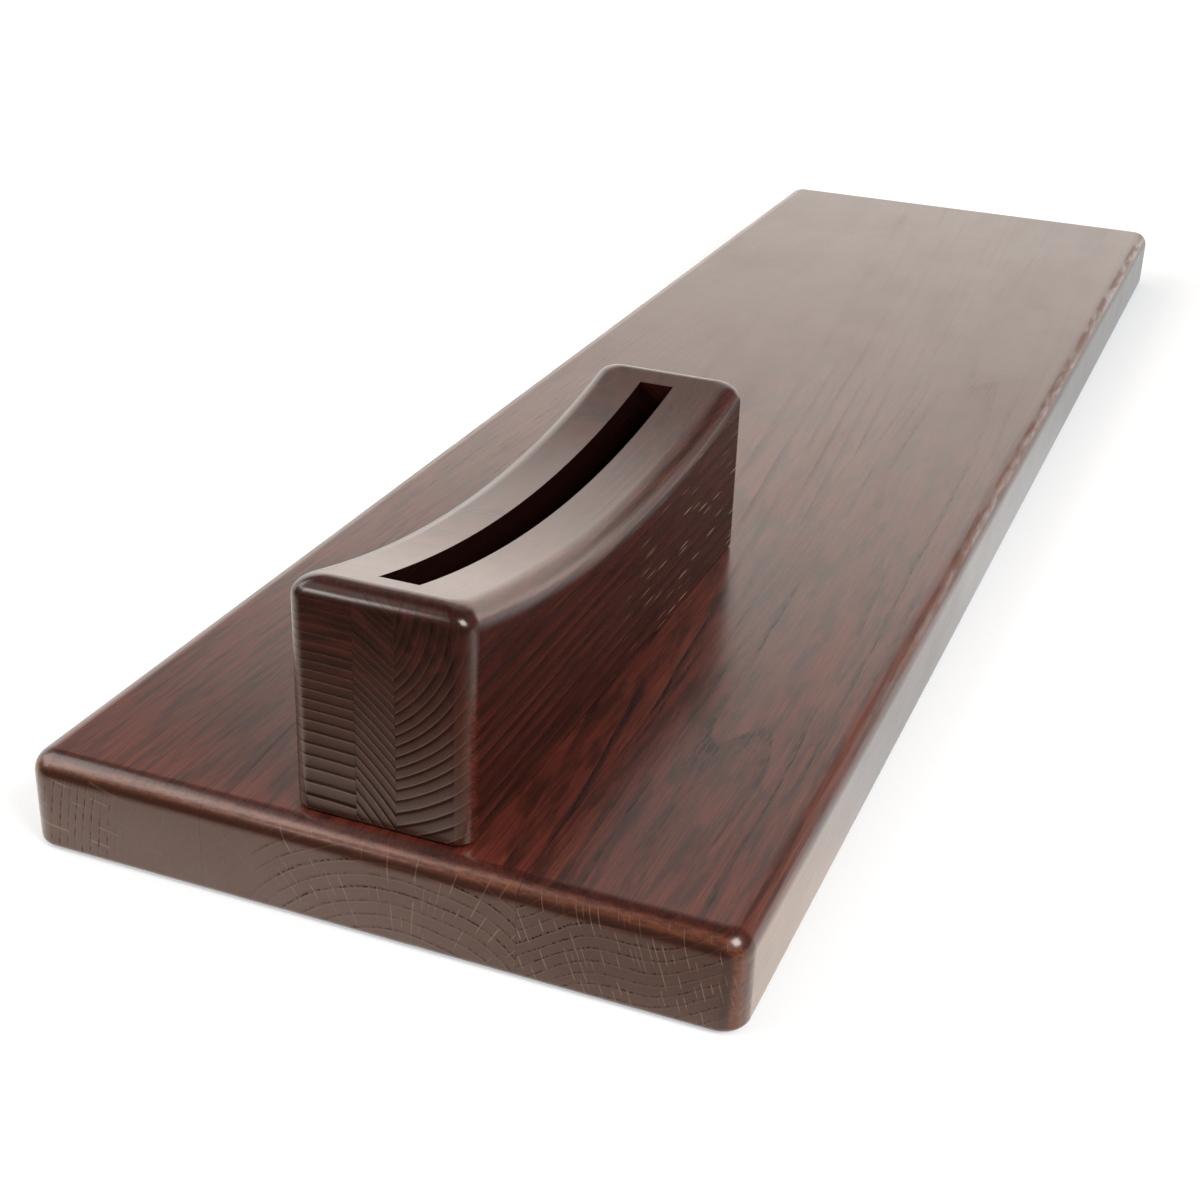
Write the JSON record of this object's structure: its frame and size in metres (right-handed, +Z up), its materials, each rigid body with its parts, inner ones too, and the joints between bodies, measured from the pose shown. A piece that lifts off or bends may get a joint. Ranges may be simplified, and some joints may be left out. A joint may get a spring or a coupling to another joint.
{
  "type": "hatchet display stand",
  "caption": "Flat stained oak board carrying an upright laminated block whose hollowed top has a long narrow slot for a hatchet's cutting edge.",
  "frame": {"origin": "middle of the board's underside, on the surface that the stand rests on", "axes": "+Z up out of the board's top, +Y along the board away from the cradle's end, +X to the right seen from the cradle's end"},
  "size_m": [0.145, 0.508, 0.0666],
  "materials": {
    "board_oak": "stained oak under satin-gloss varnish",
    "cradle_oak": "stained oak under satin-gloss varnish",
    "screw_steel": "yellow zinc-plated steel"
  },
  "bodies": {
    "root": {"board_stave_left": "board_oak", "board_stave_middle": "board_oak", "board_stave_right": "board_oak", "cradle_cheek_left": "cradle_oak", "cradle_core": "cradle_oak", "cradle_cheek_right": "cradle_oak", "cradle_screw_front": "screw_steel", "cradle_screw_rear": "screw_steel"}
  },
  "joints": []
}
